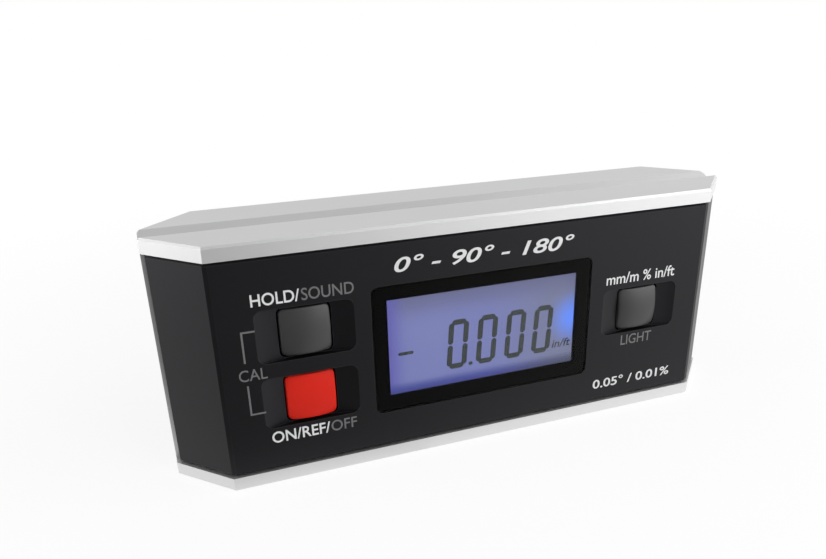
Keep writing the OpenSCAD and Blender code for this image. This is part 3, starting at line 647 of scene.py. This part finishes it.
def copy_of(piece, name, place):
    """A copy with a mesh of its own, settled at a place."""
    bpy.ops.object.select_all(action="DESELECT")
    piece.select_set(True)
    bpy.context.view_layer.objects.active = piece
    bpy.ops.object.duplicate()
    made = bpy.context.object
    made.name = name
    made.location = place
    settle()
    return made


print("modelling helpers ready")

# %% [markdown]
# A key cap is a soft square pad: rounded corners, a face that is crowned both ways, and a flange behind the
# cover that keeps it in. It could be cut from a solid, but a bevelled block stays light. Its four long
# edges are bevelled first, and bisect then cuts it into strips, so that the face has points to bend.

# %% Block of the key cap
CAP = 11.6 * MM
CORNER_R, CORNER_STEPS = 1.3 * MM, 6
FLANGE_T = 1.2 * MM
STRIPS = 14
key_low, key_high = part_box("hold_key")
block_depth = key_high.y - key_low.y - FLANGE_T
cap_model = start_block(CAP, block_depth, CAP)


def runs_back(edge):
    start, end = (cap_model.data.vertices[i].co.y for i in edge.vertices)
    return abs(start - end) > block_depth / 2


choose("EDGE", runs_back)
bpy.ops.mesh.bevel(offset=CORNER_R, segments=CORNER_STEPS)
for across in ((1, 0, 0), (0, 0, 1)):
    for i in range(1, STRIPS):
        bpy.ops.mesh.select_all(action="SELECT")
        cut = CAP * (i / STRIPS - 0.5)
        bpy.ops.mesh.bisect(plane_co=[n * cut for n in across], plane_no=across)
bpy.ops.object.mode_set(mode="OBJECT")
print("points in the block:", len(cap_model.data.vertices))

# %% [markdown]
# The crown lets a finger find the middle of the key. Each point of the face drops as a circle does: by one
# radius across, and by a wider one upwards. The bend tool needs a window, so the formula takes its place.

# %% Crowned face
CROWN_R, ARCH_R = 18 * MM, 22 * MM


def drop(radius, out):
    """How far a circle has fallen at a distance from its top."""
    return radius - math.sqrt(radius ** 2 - out ** 2)


for vertex in cap_model.data.vertices:
    if vertex.co.y < 0:
        vertex.co.y += drop(CROWN_R, vertex.co.x) + drop(ARCH_R, vertex.co.z)
print("drop at the sides in mm:", round(drop(CROWN_R, CAP / 2) / MM, 2))

# %% [markdown]
# The flange is the back of the block, extruded in place, widened, and extruded again by its
# thickness. A bevel modifier then rounds every sharp edge into a soft rim, which is simpler than
# to bevel each edge by hand.

# %% Flange and soft rim
FLANGE_W = (key_high.x - key_low.x - CAP) / 2
RIM_R, RIM_STEPS = 0.45 * MM, 4
SHARP, SMOOTH = math.radians(40), math.radians(35)
bpy.ops.object.mode_set(mode="EDIT")
choose("FACE", lambda face: face.normal.y > FACING)
push_out()
wider = 1 + 2 * FLANGE_W / CAP
bpy.ops.transform.resize(value=(wider, 1, wider))
push_out(y=FLANGE_T)
bpy.ops.mesh.select_all(action="SELECT")
bpy.ops.mesh.normals_make_consistent(inside=False)
bpy.ops.object.mode_set(mode="OBJECT")
rim = cap_model.modifiers.new("soft rim", "BEVEL")
rim.width = RIM_R
rim.segments = RIM_STEPS
rim.limit_method = "ANGLE"
rim.angle_limit = SHARP
bpy.ops.object.modifier_apply(modifier=rim.name)
bpy.ops.object.shade_smooth_by_angle(angle=SMOOTH)
print("faces of a cap:", len(cap_model.data.polygons))

# %% [markdown]
# The gauge has three keys of one shape. Each copy of the cap takes the place of a plain solid and rides on
# that solid's body, so that it sinks when the key is pressed.

# %% Three key caps
for name, node, body, slot, material in (
        ("hold_cap", "hold_key", "hold_push", "key_grey", grey_key),
        ("power_cap", "power_key", "power_push", "key_red", red_key),
        ("unit_cap", "unit_key", "unit_push", "key_grey", grey_key)):
    low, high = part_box(node)
    cap = copy_of(cap_model, name, ((low.x + high.x) / 2, low.y + block_depth / 2, (low.z + high.z) / 2))
    cap.data.materials.append(material)
    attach(cap, body)
    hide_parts(node)
    print(name, "in place of", node)
bpy.data.objects.remove(cap_model)

# %% [markdown]
# Three inks are drawn on the gauge: the dark grey green of liquid crystal, and the white and
# grey of the screen print on the cover. An ink lies on its piece and never moves by itself, so
# all of it rides the body.

# %% Inks
segment_ink = finish("segment ink", grain, bump=0.0,
                     Dark=(0.012, 0.02, 0.02, 1), Light=(0.02, 0.03, 0.03, 1),
                     Gloss_side=0.4, Matt_side=0.5)
white_ink = finish("white print", grain, bump=0.05,
                   Dark=grey(0.54), Light=grey(0.62), Gloss_side=0.45, Matt_side=0.6)
grey_ink = finish("grey print", grain, bump=0.05,
                  Dark=grey(0.1), Light=grey(0.13), Gloss_side=0.45, Matt_side=0.6)


def ink(piece, name, material):
    piece.name = name
    piece.data.name = name
    piece.data.materials.clear()
    piece.data.materials.append(material)
    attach(piece, "body")


def middle_of(node):
    """The middle of a node's box, as seen from the front."""
    low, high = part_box(node)
    return (low.x + high.x) / 2, (low.z + high.z) / 2


# %% [markdown]
# A segment of the display is a flat bar with pointed ends. It starts as a thin block, and each end is
# extruded and narrowed to its point. It lies just in front of the glass, as thin as a film.

# %% Bars of the display
FILM_T, FILM_GAP = 0.03 * MM, 0.02 * MM
POINT, POINT_TAPER = 0.35, 0.4
front_of_glass = glass_low.y - FILM_GAP
film_y = front_of_glass - FILM_T / 2


def bar(length, width, centre, upright=False, y=0.0):
    """A bar round a centre (x, z) in the plane of the display."""
    point = width * POINT
    made = start_block(length - 2 * point, FILM_T, width)
    for side in (-1, 1):
        choose("FACE", lambda face, side=side: face.normal.x * side > FACING)
        push_out(x=side * point)
        bpy.ops.transform.resize(value=(1, 1, POINT_TAPER))
    bpy.ops.object.mode_set(mode="OBJECT")
    made.rotation_euler = (0, math.radians(90) if upright else 0, 0)
    made.location = (centre[0], y, centre[1])
    settle()
    return made


print("bars lie", round((glass_low.y - film_y) / MM, 3), "mm in front of the glass")

# %% [markdown]
# The figures of the display have seven segments and lean a little to the right. Zero lights six of them.
# One zero is joined from bars and leaned, and then copied to the four places.

# %% The figures
FIG_W, FIG_H = 5.4 * MM, 13.3 * MM
BAR_W, BAR_GAP = 1.4 * MM, 0.3 * MM
LEAN = 0.07
FIGURE_X = [x * MM for x in (-6.65, 1.3, 9.25, 17.05)]
FIGURE_Z = -2.65 * MM
display_x, display_z = middle_of("lens_mask")
half_w, half_h = (FIG_W - BAR_W) / 2, (FIG_H - BAR_W) / 2
zero_bars = [bar(FIG_W - BAR_W - BAR_GAP, BAR_W, (0, side * half_h)) for side in (1, -1)]
for side in (-1, 1):
    for end in (-1, 1):
        zero_bars.append(bar(half_h - BAR_GAP, BAR_W, (side * half_w, end * half_h / 2), upright=True))
bpy.ops.object.select_all(action="DESELECT")
for piece in zero_bars:
    piece.select_set(True)
bpy.context.view_layer.objects.active = zero_bars[0]
bpy.ops.object.join()
zero = bpy.context.object
for vertex in zero.data.vertices:
    vertex.co.x += LEAN * vertex.co.z
for i, x in enumerate(FIGURE_X):
    name = f"lcd_zero_{i + 1}"
    ink(copy_of(zero, name, (display_x + x, film_y, display_z + FIGURE_Z)), name, segment_ink)
bpy.data.objects.remove(zero)
print("figures of the display are", round(FIG_H / MM, 1), "mm tall")

# %% [markdown]
# The minus sign and the decimal point are single bars, one thin and one short.

# %% Minus and point
MINUS_L, MINUS_W, MINUS_X, MINUS_Z = 3.9 * MM, 0.85 * MM, -20.35 * MM, -2.75 * MM
DOT_L, DOT_W, DOT_X, DOT_Z = 1.1 * MM, 1.0 * MM, -3.2 * MM, -8.65 * MM
minus = bar(MINUS_L, MINUS_W, (display_x + MINUS_X, display_z + MINUS_Z), y=film_y)
ink(minus, "lcd_minus", segment_ink)
dot = bar(DOT_L, DOT_W, (display_x + DOT_X, display_z + DOT_Z), y=film_y)
ink(dot, "lcd_point", segment_ink)
print("minus", round(MINUS_L / MM, 1), "mm and point", round(DOT_L / MM, 1), "mm long")

# %% [markdown]
# The marks on the cover are screen printed. A text object gives the outline, a thin extrusion gives the ink
# its body, and the result is made a mesh before it is placed, because a text's own place and turn would be
# lost later. Its front, back and sides come apart, so their doubled points are merged. The built-in letters
# are plain, so each mark gets a small offset, which makes it bolder, and two are slanted. The values of the
# letters are in the text's own units, before it is scaled to its box.

# %% Print helper
cover_low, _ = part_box("front_cover")
INK_T = 0.03 * MM
INK_OUT = 0.3 * INK_T
LETTER_STEPS, LETTER_T = 6, 0.02
MERGE = 0.0002


def printed(name, words, home, box, material, bold, slant=0.0, face_y=cover_low.y):
    """Text that fills a box (x0, z0, x1, z1), in millimetres from the middle of its home node."""
    bpy.ops.object.select_all(action="DESELECT")
    bpy.ops.object.text_add()
    text = bpy.context.object.data
    text.body = words
    text.resolution_u = LETTER_STEPS
    text.offset = bold
    text.shear = slant
    text.extrude = LETTER_T
    bpy.ops.object.convert(target="MESH")
    made = bpy.context.object
    bpy.ops.object.mode_set(mode="EDIT")
    bpy.ops.mesh.select_all(action="SELECT")
    bpy.ops.mesh.remove_doubles(threshold=MERGE)
    bpy.ops.mesh.dissolve_degenerate(threshold=MERGE)
    bpy.ops.object.mode_set(mode="OBJECT")
    (x_low, x_high), (y_low, y_high), (z_low, z_high) = (
        (min(row), max(row)) for row in zip(*(vertex.co for vertex in made.data.vertices)))
    x0, z0, x1, z1 = (v * MM for v in box)
    made.scale = ((x1 - x0) / (x_high - x_low), (z1 - z0) / (y_high - y_low), INK_T / (z_high - z_low))
    made.rotation_euler = (math.radians(90), 0, 0)
    home_x, home_z = middle_of(home)
    made.location = (home_x + x0 - x_low * made.scale.x, face_y - INK_OUT,
                     home_z + z0 - y_low * made.scale.y)
    settle()
    ink(made, name, material)


print("ink in mm:", round(INK_T / MM, 3))

# %% [markdown]
# Words stand beside the keys and say what each key does, with numbers above the display and at the
# lower right. The place of each is measured from the key or the display that it belongs to, so
# that it follows that piece.

# %% Printed marks
printed("mark_hold", "HOLD/", "hold_key", (-11.5, 7.6, -0.8, 10.5), white_ink, bold=0.012)
printed("mark_sound", "SOUND", "hold_key", (-0.4, 7.6, 11.5, 10.5), grey_ink, bold=0.006)
printed("mark_cal", "CAL", "hold_key", (-15.85, -9.85, -9.6, -7.0), grey_ink, bold=0.004)
printed("mark_on", "ON/REF/", "power_key", (-10.2, -10.4, 3.6, -7.4), white_ink, bold=0.012)
printed("mark_off", "OFF", "power_key", (3.9, -10.3, 10.2, -7.4), grey_ink, bold=0.006)
printed("mark_units", "mm/m % in/ft", "unit_key", (-10.7, 7.9, 10.3, 10.9), white_ink, bold=0.01)
printed("mark_light", "LIGHT", "unit_key", (-4.8, -10.1, 4.8, -7.2), grey_ink, bold=0.004)
printed("mark_range", "0° - 90° - 180°", "lens_mask", (-23.3, 19.35, 23.4, 23.1), white_ink,
        bold=0.014, slant=0.25)
printed("mark_steps", "0.05° / 0.01%", "unit_key", (-12.6, -22.0, 12.2, -19.2), white_ink, bold=0.014)
printed("lcd_unit", "in/ft", "lens_mask", (20.1, -8.6, 25.6, -6.3), segment_ink,
        bold=0.008, slant=0.2, face_y=front_of_glass)

# %% [markdown]
# Two thin printed brackets tie the two left keys together. Each starts as a small block at its corner, and
# two of that block's faces are extruded, one sideways and one up or down.

# %% Brackets
LINE_W = 0.42 * MM


def at_corner(face):
    return max(abs(face.center.x), abs(face.center.z)) < LINE_W


def bracket(name, home, corner, run_x, run_z):
    """A corner at (x, z) from the middle of its home node, and the two runs from it, in millimetres."""
    made = start_block(LINE_W, INK_T, LINE_W)
    for run in (Vector((run_x, 0, 0)), Vector((0, 0, run_z))):
        way = run.normalized()
        choose("FACE", lambda face, way=way: at_corner(face) and face.normal.dot(way) > FACING)
        push_out(*(run * MM))
    bpy.ops.object.mode_set(mode="OBJECT")
    home_x, home_z = middle_of(home)
    made.location = (home_x + corner[0] * MM, cover_low.y - INK_OUT, home_z + corner[1] * MM)
    settle()
    ink(made, name, grey_ink)


bracket("bracket_upper", "hold_key", (-14.2, 2.0), 2.7, -7.2)
bracket("bracket_lower", "power_key", (-14.2, -1.8), 3.1, 7.2)
print("brackets with lines of", round(LINE_W / MM, 2), "mm")

# %% [markdown]
# At the end the size of the dressed part is printed.

# %% Measure and finish
low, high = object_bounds()
print("dressed size in mm:", [round(v / MM, 1) for v in high - low])
